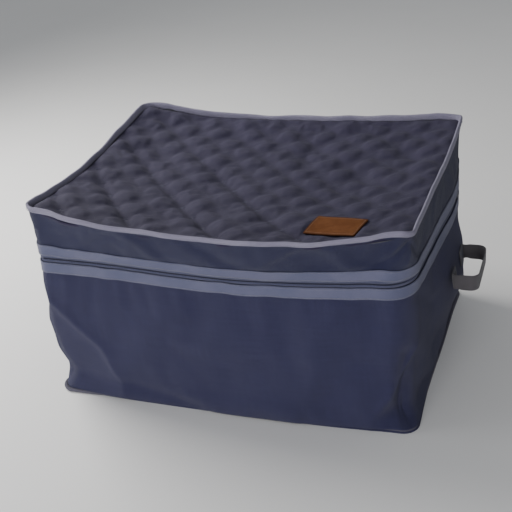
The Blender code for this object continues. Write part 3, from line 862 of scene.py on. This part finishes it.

# Zip: facings, tapes, teeth and seams; the stops stay as the frame's parts
ZIP_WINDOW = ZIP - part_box("lower_zip_facing")[1].z
FACING_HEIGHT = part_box("lower_zip_facing")[1].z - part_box("lower_zip_facing")[0].z
TOOTH_PITCH = 2.5 * MM
STITCH_PITCH = 4.4 * MM
FACING_OUT = 0.3 * MM
FACING_THICKNESS = 0.7 * MM
FACING_WAVE = (0.030, 1.5 * MM)
FACING_SEAM = 1.8 * MM
SEAM_OUT = FACING_OUT + FACING_THICKNESS + 0.15 * MM
TEETH_END = 0.150
# Rows of the tape: distance from the zip's middle and distance out from the wall
TAPE_ROWS = np.array(((1.2, -1.6), (3.0, -1.6), (5.0, -2.2), (6.5, -3.3), (18.2, -3.5))) * MM
TAPE_THICKNESS = 0.6 * MM
TOOTH = [(place * MM, width * MM, depth * MM) for place, width, depth in (
    (0, 0.35, 0.4), (0.4, 0.75, 0.75), (1.7, 0.6, 0.65), (2.3, 0.3, 0.4),
)]


def wavy(points, run, seed):
    """Lets a tape rise and fall a little, less along the left side, where the slider runs."""
    ease = np.array([0.15 if side == "left" else 1.0 for side in run.side])
    points[..., 2] += ruffle(points[:1], *FACING_WAVE, seed) * blurred(ease, 6, 0)
    return points


def zip_half(prefix, sign):
    """Facing, tape, teeth and seams on one side of the zip."""
    near, far = ZIP_WINDOW, ZIP_WINDOW + FACING_HEIGHT
    levels = np.linspace(near, far, 6) * sign + ZIP
    levels.sort()
    facing = skin(prefix + "_facing", wavy(wrap.at(levels, FACING_OUT), wrap, sign),
                  flat_uv(wrap.around, levels), GREY)
    thicken(facing, FACING_THICKNESS, 1.0)
    rows = TAPE_ROWS[::sign]
    levels = ZIP + sign * rows[:, 0]
    tape = skin(prefix + "_tape", wrap.at(levels, rows[:, 1:]), flat_uv(wrap.around, levels), TAPE)
    thicken(tape, TAPE_THICKNESS, 1.0)
    share = TEETH_END / (HALF_Y - ROUND)
    teeth_run = Run(("left", -share, 1), *ZIP_PARTS[2:5], ("right", -1, share), step=TOOTH_PITCH)
    places = teeth_run.at([ZIP + sign * 0.15 * MM], -1.0 * MM)[0][2:-1]
    tangents = np.concatenate([teeth_run.tangent, np.zeros((len(teeth_run.share), 1))], 1)[2:-1]
    places += tangents * (0.5 * TOOTH_PITCH * (sign > 0))
    ups = np.tile((0.0, 0.0, float(sign)), (len(places), 1))
    shape, faces = bar(TOOTH)
    teeth = copies(prefix + "_teeth", shape, faces, places, tangents, run_normals(teeth_run)[2:-1], ups, COIL)
    stitch_run = Run(*ZIP_PARTS, step=STITCH_PITCH)
    lines = []
    for level in (near + FACING_SEAM, far - FACING_SEAM):
        line = wavy(stitch_run.at([ZIP + sign * level], SEAM_OUT), stitch_run, sign)
        lines.append((line[0], run_normals(stitch_run)))
    return facing, tape, teeth, stitches(prefix + "_facing_stitches", lines, GREY_THREAD)


lower_zip = zip_half("lower", -1)
upper_zip = zip_half("upper", 1)
HINGE_TAPE_HALF = 16.5 * MM
hinge_levels = np.linspace(ZIP - HINGE_TAPE_HALF, ZIP + HINGE_TAPE_HALF, 16)
hinge_run = Run(("back", -0.98, 0.98))
hinge_tape = skin("hinge_tape", hinge_run.at(hinge_levels, FACING_OUT),
                  flat_uv(hinge_run.around, hinge_levels), GREY)
thicken(hinge_tape, FACING_THICKNESS, 1.0)
lip_run = Run(*RING_PARTS, step=STITCH_PITCH)
lip_line = (lip_run.at([LIP_TOP - 6.6 * MM], 1.75 * MM)[0], run_normals(lip_run))
lip_stitches = stitches("lip_stitches", [lip_line], GREY_THREAD)

# Quilt: a grid whose diagonals fall on the stitch lines
QUILT_DIAGONAL = 58 * MM
QUILT_STEPS = 14
QUILT_STEP = QUILT_DIAGONAL / QUILT_STEPS
QUILT_SHIFT_STEPS = 1
QUILT_RISE = 2.8 * MM
QUILT_VALLEY = 6 * MM
QUILT_THICKNESS = 5 * MM
QUILT_LONG_WAVE, QUILT_SHORT_WAVE = (0.10, 5 * MM), (0.040, 3.0 * MM)
QUILT_CORNER = 11 * MM
QUILT_DIP = 8 * MM
QUILT_EDGE = LIP_TOP - 8 * MM
LINING_DROP = 12 * MM
LABEL_PLACE = Vector((0.1605, -0.1575))
LABEL_TURN = math.radians(-9)
LABEL_SIZE = (0.0735, 0.051)
LABEL_THICKNESS = 1.5 * MM
LABEL_ROWS, LABEL_COLUMNS = 17, 31


UPWARD = np.array((0.0, 0.0, 1.0))


def edge_shift(side, shares, level, offset):
    """How far the outline's straight edge is from its plain line, at shares of a side."""
    outward = np.array((*SIDES[side][0], 0.0))
    swell = look_up(SWELL_TABLE, side, shares, np.array([level]))[0]
    sag = look_up(SAG_TABLE, side, shares, np.array([level]))[0]
    return outward[None, :] * (swell + offset)[:, None] - UPWARD[None, :] * sag[:, None]


def lid_surface(u, v, level, offset):
    """Points inside the lid's edge for u and v from -1 to 1: the edges' shifts carried across it."""
    s, t = (((grid + 1) / 2)[..., None] for grid in np.meshgrid(u, v))
    front, back = (edge_shift(*edge, level, offset)[None] for edge in (("front", u), ("back", -u)))
    left, right = (edge_shift(*edge, level, offset)[:, None] for edge in (("left", -v), ("right", v)))
    shift = (front * (1 - t) + back * t) * np.array((0, 1, 1))
    shift = shift + (left * (1 - s) + right * s) * np.array((1, 0, 1))
    corners = ((front[0, 0], back[0, 0]), (front[0, -1], back[0, -1]))
    shared = sum(
        corners[i][j] * (s if i else 1 - s) * (t if j else 1 - t) for i in (0, 1) for j in (0, 1)
    )
    shift = shift - shared * UPWARD
    plain = np.concatenate([(2 * s - 1) * HALF_X, (2 * t - 1) * HALF_Y, 0 * s + level], 2)
    return plain + shift


def round_corners(points, radius):
    """Pulls the corner squares of a rectangle's grid in to quarter circles."""
    for sign_x in (-1, 1):
        for sign_y in (-1, 1):
            centre_x, centre_y = sign_x * (HALF_X - radius), sign_y * (HALF_Y - radius)
            a = np.clip((points[..., 0] - centre_x) * sign_x / radius, 0, 1.3)
            b = np.clip((points[..., 1] - centre_y) * sign_y / radius, 0, 1.3)
            inside = (a > 0) & (b > 0)
            x = centre_x + sign_x * radius * a * np.sqrt(1 - b**2 / 2)
            y = centre_y + sign_y * radius * b * np.sqrt(1 - a**2 / 2)
            points[..., 0] = np.where(inside, x, points[..., 0])
            points[..., 1] = np.where(inside, y, points[..., 1])
    return points


# The pad's top: puffed cells, deeper valleys where the cloth is slack, a dip in the middle, flat at the label
columns = 2 * int(HALF_X / QUILT_STEP) + 1
rows = 2 * int(HALF_Y / QUILT_STEP) + 1
u, v = np.linspace(-1, 1, columns), np.linspace(-1, 1, rows)
grid_u, grid_v = np.meshgrid(u, v)
index_x, index_y = np.meshgrid(np.arange(columns) - columns // 2, np.arange(rows) - rows // 2)
rising = index_x + index_y - 2 * QUILT_SHIFT_STEPS
falling = index_x - index_y
base_points = round_corners(lid_surface(u, v, QUILT_EDGE, -2.4 * MM), QUILT_CORNER)
puff = np.abs(np.sin(math.pi * rising / QUILT_STEPS)) * np.abs(np.sin(math.pi * falling / QUILT_STEPS))
edge_fade = np.clip((1 - np.maximum(abs(grid_u), abs(grid_v))) / 0.06, 0, 1) ** 0.5
uneven = ruffle(base_points, *QUILT_LONG_WAVE, 3) + ruffle(base_points, *QUILT_SHORT_WAVE, 5)
every_second = np.abs((rising / QUILT_STEPS + 1) % 2 - 1)
valley = np.exp(-(((1 - every_second) / 0.25) ** 2))
slack = np.clip(0.5 - 0.8 * grid_v - 0.35 * grid_u, 0.05, 1.15) * np.clip(1.15 - abs(grid_u + 0.25), 0, 1)
turn = Vector((math.cos(LABEL_TURN), math.sin(LABEL_TURN)))
from_label = base_points[..., :2] - np.array(LABEL_PLACE)
along_label = abs(from_label[..., 0] * turn.x + from_label[..., 1] * turn.y) - LABEL_SIZE[0] / 2
across_label = abs(from_label[..., 1] * turn.x - from_label[..., 0] * turn.y) - LABEL_SIZE[1] / 2
under_label = np.clip(np.maximum(along_label, across_label) / (8 * MM) + 0.3, 0.25, 1)
near_label = np.exp(-((np.hypot(from_label[..., 0], from_label[..., 1]) / 0.085) ** 2))
dip = QUILT_DIP * (1 - grid_u**4) * (1 - grid_v**4) * (1 - 0.8 * near_label)
top_points = base_points.copy()
rise = puff**0.7 * QUILT_RISE * under_label
top_points[..., 2] += (uneven - dip + rise - QUILT_VALLEY * valley * slack) * edge_fade
quilt = skin("quilt", top_points, base_points[..., :2], QUILT)
stitched = (rising % QUILT_STEPS == 0) | (falling % QUILT_STEPS == 0)
border = np.maximum(abs(grid_u), abs(grid_v)) > 0.999
quilt_pins = np.where(stitched | border, 1.0, 0.0) + 0.5 * (under_label < 0.5)
simulate(quilt, np.clip(quilt_pins, 0, 1).ravel(), 18, grow=0.030, pressure=0.8, stiffness=10.0, bending=0.4)
thicken(quilt, QUILT_THICKNESS)
soften(quilt)
lining_points = base_points[::4, ::4].copy()
lining_points[..., 2] -= (dip * edge_fade)[::4, ::4] + LINING_DROP * edge_fade[::4, ::4] + 1 * MM
lid_inside = skin("lid_inside", lining_points, lining_points[..., :2], LINING)
thicken(lid_inside, 1.2 * MM)
soften(lid_inside)


def surface(thing):
    """A tree for casting rays at the thing as it shows."""
    return BVHTree.FromObject(thing, bpy.context.evaluated_depsgraph_get())


quilt_points = settled_grid(quilt).reshape(rows, columns, 3)
quilt_lines = []
for mask in (rising, falling):
    step = 1 if mask is falling else -1
    for number in range(int(mask.min() / QUILT_STEPS), int(mask.max() / QUILT_STEPS) + 1):
        cells = [(r, c) for r, c in zip(*np.nonzero(mask == number * QUILT_STEPS))]
        cells = [(r, c) for r, c in sorted(cells) if 1 < r < rows - 2 and 1 < c < columns - 2]
        if len(cells) > 3:
            line = np.array([quilt_points[r, c] for r, c in cells]) + np.array((0, 0, 0.35 * MM))
            quilt_lines.append((line, np.tile(UPWARD, (len(line), 1))))
quilt_stitches = stitches("quilt_stitches", quilt_lines, THREAD, 3.8 * MM, 0.3 * MM)

# Label: a leather patch that lies on the quilt, stitched round its edge


def patch(name, place, turn, size, corner, material):
    """A rounded rectangle of leather that follows the quilt below it, and the grid of its points."""
    tree = surface(quilt)
    across = Vector((-turn.y, turn.x))

    def on_quilt(x, y):
        flat = place + turn * x + across * y
        hit = tree.ray_cast(Vector((flat.x, flat.y, LIP_TOP + 0.05)), Vector((0, 0, -1)))[0]
        return (flat.x, flat.y, hit.z)

    xs = np.linspace(-size[0] / 2, size[0] / 2, LABEL_COLUMNS)
    ys = np.linspace(-size[1] / 2, size[1] / 2, LABEL_ROWS)
    grid = np.array([[on_quilt(x, y) for x in xs] for y in ys])
    plain = grid[..., 2].copy()
    for _ in range(3):
        grid[..., 2] = blurred(blurred(grid[..., 2], 5, 0), 8, 1)
    grid[..., 2] += np.percentile(plain - grid[..., 2], 90) + 0.2 * MM
    uv = np.stack(np.meshgrid(xs, ys), 2)
    rounded = uv.copy()
    for r, c in ((0, 0), (0, -1), (-1, 0), (-1, -1)):
        rounded[r, c] *= 1 - 0.35 * corner / size[1]
    for r in range(len(ys)):
        for c in range(len(xs)):
            flat = place + turn * rounded[r, c, 0] + across * rounded[r, c, 1]
            grid[r, c, 0], grid[r, c, 1] = flat.x, flat.y
    thing = skin(name, grid, uv, material)
    thicken(thing, LABEL_THICKNESS, 1.0)
    edge = thing.modifiers.new("edge", "BEVEL")
    edge.width = 0.4 * MM
    edge.segments = 2
    return thing, grid


label, label_grid = patch("leather_patch", LABEL_PLACE, turn, LABEL_SIZE, 3 * MM,
                          leather("brown_leather", LABEL_SIZE[0] / 2, LABEL_SIZE[1] / 2))


def on_grid(grid, row, column):
    """The point between a grid's points, by row and column."""
    r, c = min(int(row), grid.shape[0] - 2), min(int(column), grid.shape[1] - 2)
    a, b = row - r, column - c
    low = grid[r, c] * (1 - b) + grid[r, c + 1] * b
    high = grid[r + 1, c] * (1 - b) + grid[r + 1, c + 1] * b
    return low * (1 - a) + high * a


def path_on_grid(grid, corners, pitch, lift):
    """A line through (row, column) corners of a grid, in steps of a stitch, lifted off it."""
    points = []
    for start, end in zip(corners, corners[1:]):
        length = np.linalg.norm(on_grid(grid, *end) - on_grid(grid, *start))
        count = max(1, round(length / pitch))
        for i in range(count + (end is corners[-1])):
            share = i / count
            spot = [a + (b - a) * share for a, b in zip(start, end)]
            points.append(on_grid(grid, *spot))
    points = np.array(points)
    return points + np.array(lift), np.tile(np.array(lift) / np.linalg.norm(lift), (len(points), 1))


near, far_row, far_column = 1.2, LABEL_ROWS - 2.2, LABEL_COLUMNS - 2.2
label_corners = [(near, near), (near, far_column), (far_row, far_column), (far_row, near), (near, near)]
label_line = path_on_grid(label_grid, label_corners, 3.4 * MM, (0, 0, LABEL_THICKNESS + 0.1 * MM))
label_stitches = stitches("label_stitches", [label_line], LEATHER_THREAD, 2.4 * MM, 0.25 * MM)

# Handles: one length of webbing from a pad sewn flat on the wall, out round the loop, to the other pad
PAD_LENGTH = 26 * MM
PAD_END = HANDLE_HALF - 2.8 * MM
LEG_PLANE = HANDLE_HALF - 0.8 * MM
HANDLE_BEND = 12 * MM
WEBBING_HALF = 12.4 * MM
# Where the webbing turns out from the wall, in millimetres: distance out, distance in, half width
TURN_OUT = ((2.6, 0.7, 12.0), (5.0, 0.1, 11.4), (8.0, 0.0, 11.0))
LEG_START = TURN_OUT[-1][0] * MM
STEPS = 8


def handle_rows(sign, wall_tree):
    """The webbing's middle surface: rows up its width, columns along it."""
    reach = HANDLE_TIP - 0.8 * MM

    def wall(y, z):
        hit = wall_tree.ray_cast(Vector((sign * 0.40, y, z)), Vector((-sign, 0, 0)))[0]
        return abs(hit.x)

    rows = []
    for share in np.linspace(-1, 1, 9):
        half = []
        edge = HANDLE_LEVEL + share * WEBBING_HALF
        for i in range(STEPS):
            along = PAD_END - PAD_LENGTH * (1 - i / (STEPS - 1))
            half.append((wall(along, edge) + 1.2 * MM, along, edge))
        out = wall(PAD_END, HANDLE_LEVEL + share * 12 * MM)
        for away, inward, width in TURN_OUT:
            half.append((out + away * MM, LEG_PLANE - inward * MM, HANDLE_LEVEL + share * width * MM))
        start, end = out + LEG_START, reach - HANDLE_BEND
        for i in range(1, STEPS + 1):
            width = min(TURN_OUT[-1][2] * MM + 0.6 * MM * i, WEBBING_HALF)
            half.append((start + (end - start) * i / STEPS, LEG_PLANE, HANDLE_LEVEL + share * width))
        for i in range(1, STEPS + 1):
            angle = math.pi / 2 * i / STEPS
            half.append((end + HANDLE_BEND * math.sin(angle),
                         LEG_PLANE - HANDLE_BEND + HANDLE_BEND * math.cos(angle), edge))
        far = [(x, -y, z) for x, y, z in half]
        rows.append([(sign * x, y, z) for x, y, z in far + half[::-1]])
    return np.array(rows)


wall_tree = surface(wall_wrap)
handles = {}
for side, sign in (("right", 1), ("left", -1)):
    grid = handle_rows(sign, wall_tree)
    if sign < 0:
        grid = grid[:, ::-1]
    along = np.concatenate([[0], np.cumsum(np.linalg.norm(np.diff(grid[4], axis=0), axis=1))])
    strap = skin(side + "_strap", grid, flat_uv(along, np.linspace(-12.5, 12.5, 9) * MM), WEBBING)
    thicken(strap, 1.6 * MM, 0.0)
    soften(strap)
    lines = []
    last = grid.shape[1] - 1
    low, high = 0.8, 7.2
    for start, end in ((0.6, 6.6), (last - 6.6, last - 0.6)):
        box_line = [(low, start), (low, end), (high, end), (high, start), (low, start), (high, end)]
        for corners in (box_line, [(low, end), (high, start)]):
            lines.append(path_on_grid(grid, corners, 3.6 * MM, (sign * MM, 0, 0)))
    sewn = stitches(side + "_strap_stitches", lines, THREAD, 2.8 * MM, 0.3 * MM)
    handles[side] = (strap, sewn)

# Dividers: felt boards with bound top edges
CAP = [(across * MM, up * MM) for across, up in (
    (-2.5, -7.0), (-2.6, -2.0), (-2.3, -0.2), (-1.3, 0.7), (0.0, 1.0), (1.3, 0.7), (2.3, -0.2), (2.6, -2.0),
    (2.5, -7.0),
)]


def edge_cap(name, start, end):
    """Binding folded over a straight edge between two points."""
    direction = (Vector(end) - Vector(start)).normalized()
    across = Vector((-direction.y, direction.x, 0))
    count = max(2, round((Vector(end) - Vector(start)).length / 0.02))
    rows = []
    for i in range(count + 1):
        middle = Vector(start).lerp(Vector(end), i / count)
        rows.append([tuple(middle + across * a + Vector((0, 0, b))) for a, b in CAP])
    grid = np.array(rows).transpose(1, 0, 2)
    along = np.linspace(0, (Vector(end) - Vector(start)).length, count + 1)
    cap = skin(name, grid, flat_uv(along, np.linspace(0, 18 * MM, len(CAP) + 1)), GREY, across=True)
    return fill_ends(cap)


def fill_ends(thing):
    solid = bmesh.new()
    solid.from_mesh(thing.data)
    bmesh.ops.holes_fill(solid, edges=[edge for edge in solid.edges if edge.is_boundary])
    solid.to_mesh(thing.data)
    solid.free()
    return thing


divider_caps = []
cross_places = []
for name in ("left", "middle", "right"):
    corner_low, corner_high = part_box(name + "_divider")
    x = (corner_low.x + corner_high.x) / 2
    cross_places.append(x)
    ends = (x, corner_low.y + MM, corner_high.z), (x, corner_high.y - MM, corner_high.z)
    divider_caps.append(edge_cap(name + "_divider_edge", *ends))
for name in ("front", "rear"):
    corner_low, corner_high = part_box(name + "_divider")
    y = (corner_low.y + corner_high.y) / 2
    crossings = [x + s * 3.2 * MM for x in cross_places for s in (-1, 1)]
    stops = [corner_low.x + MM, *crossings, corner_high.x - MM]
    for number, (start, end) in enumerate(zip(stops[::2], stops[1::2])):
        ends = (start, y, corner_high.z), (end, y, corner_high.z)
        divider_caps.append(edge_cap(f"{name}_divider_edge_{number + 1}", *ends))

# Floor, light, camera


def look(thing, target):
    direction = Vector(target) - thing.location
    thing.rotation_euler = direction.to_track_quat("-Z", "Y").to_euler()


def area_light(name, place, target, size, power, tint):
    """A soft light that shines on a target."""
    data = bpy.data.lights.new(name, "AREA")
    data.shape = "RECTANGLE"
    data.size, data.size_y = size
    data.energy = power
    data.color = tint
    lamp = bpy.data.objects.new(name, data)
    bpy.context.scene.collection.objects.link(lamp)
    lamp.location = place
    look(lamp, target)


floor_shader = Shader("floor")
floor_tone = floor_shader.mix(floor_shader.noise(3, 3), colour(226, 225, 222), colour(232, 231, 228))
floor_shader.set(Base_Color=floor_tone, Roughness=0.7)
FLOOR = 4.0
floor_corners = [(x * FLOOR, y * FLOOR, 0) for x, y in ((-1, -1), (1, -1), (1, 1), (-1, 1))]
floor = mesh_object("floor", floor_corners, [(0, 1, 2, 3)], floor_shader.material)
area_light("key", (-1.1, 0.3, 1.05), (0, 0, 0.25), (0.8, 0.8), 29, (1.0, 0.985, 0.98))
area_light("side", (-2.3, -0.8, 0.45), (-0.1, -0.1, 0.1), (1.0, 0.8), 24, (0.97, 0.98, 1.0))
area_light("fill", (0.2, -2.6, 0.5), (0, 0, 0.12), (1.8, 1.0), 46, (0.98, 0.97, 1.0))
world = bpy.data.worlds.new("world")
bpy.context.scene.world = world
world.use_nodes = True
world.node_tree.nodes["Background"].inputs[0].default_value = (0.84, 0.87, 0.92, 1)
world.node_tree.nodes["Background"].inputs[1].default_value = 0.42

CAMERA_AZIMUTH, CAMERA_ELEVATION, CAMERA_ROLL = (math.radians(a) for a in (21.203, 27.743, -5.377))
CAMERA_DISTANCE = 1.515
CAMERA_TARGET = Vector((-0.0162, 0, 0.1458))
SENSOR = 36
FOCAL_RATIO = 1.88
level = math.cos(CAMERA_ELEVATION)
back = Vector((math.sin(CAMERA_AZIMUTH) * level, -math.cos(CAMERA_AZIMUTH) * level,
               math.sin(CAMERA_ELEVATION)))
level_right = (-back).cross(Vector((0, 0, 1))).normalized()
level_up = level_right.cross(-back)
right = level_right * math.cos(CAMERA_ROLL) + level_up * math.sin(CAMERA_ROLL)
up = level_up * math.cos(CAMERA_ROLL) - level_right * math.sin(CAMERA_ROLL)
lens = bpy.data.cameras.new("camera")
lens.lens = SENSOR * FOCAL_RATIO
lens.clip_start = 0.05
camera = bpy.data.objects.new("camera", lens)
bpy.context.scene.collection.objects.link(camera)
turned = Matrix((right, up, back)).transposed().to_4x4()
camera.matrix_world = Matrix.Translation(CAMERA_TARGET + back * CAMERA_DISTANCE) @ turned
bpy.context.scene.camera = camera

# What each piece rides on and stands for

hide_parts("front_wall", "left_wall", "right_wall")
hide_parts("lid_front_skirt", "lid_left_skirt", "lid_right_skirt")
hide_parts("back_wall", "lid_back_skirt")
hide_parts("rear_hinge_tape")
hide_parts("base_panel")
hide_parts("base_binding")
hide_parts("lid_binding")
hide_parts("lid_quilt")
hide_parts("lid_lining")
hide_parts("leather_label")
for prefix, pieces, body in (("lower", lower_zip, "root"), ("upper", upper_zip, "lid")):
    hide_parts(prefix + "_zip_facing")
    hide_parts(prefix + "_zip_tape")
    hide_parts(prefix + "_zip_coil")
    for piece in pieces:
        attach(piece, body)
for piece in (wall_wrap, base_cloth, base_piping, *divider_caps):
    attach(piece, "root")
for piece in (skirt_wrap, lid_lip, lip_stitches, quilt, quilt_stitches, lid_inside, label, label_stitches):
    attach(piece, "lid")
for piece in (back_panel, hinge_tape):
    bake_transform(piece)
for side, sign in (("right", 1), ("left", -1)):
    strap, sewn = handles[side]
    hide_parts(side + "_handle", side + "_handle_front_tab", side + "_handle_rear_tab")
    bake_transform(strap)
    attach(sewn, "root")

KEPT = {
    "zip_slider": METAL, "zip_pull": WEBBING, "zip_start_stop": METAL, "zip_end_stop": METAL,
    "base_board": BOARD, "front_divider": FELT, "rear_divider": FELT, "left_divider": FELT,
    "middle_divider": FELT, "right_divider": FELT,
}
for node, material in KEPT.items():
    kept = frame["nodes"][node]
    kept.data.materials.clear()
    kept.data.materials.append(material)
    if material in (METAL, WEBBING):
        edge = kept.modifiers.new("edge", "BEVEL")
        edge.width = 0.25 * MM
        edge.segments = 2

floor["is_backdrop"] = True
low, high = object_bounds()
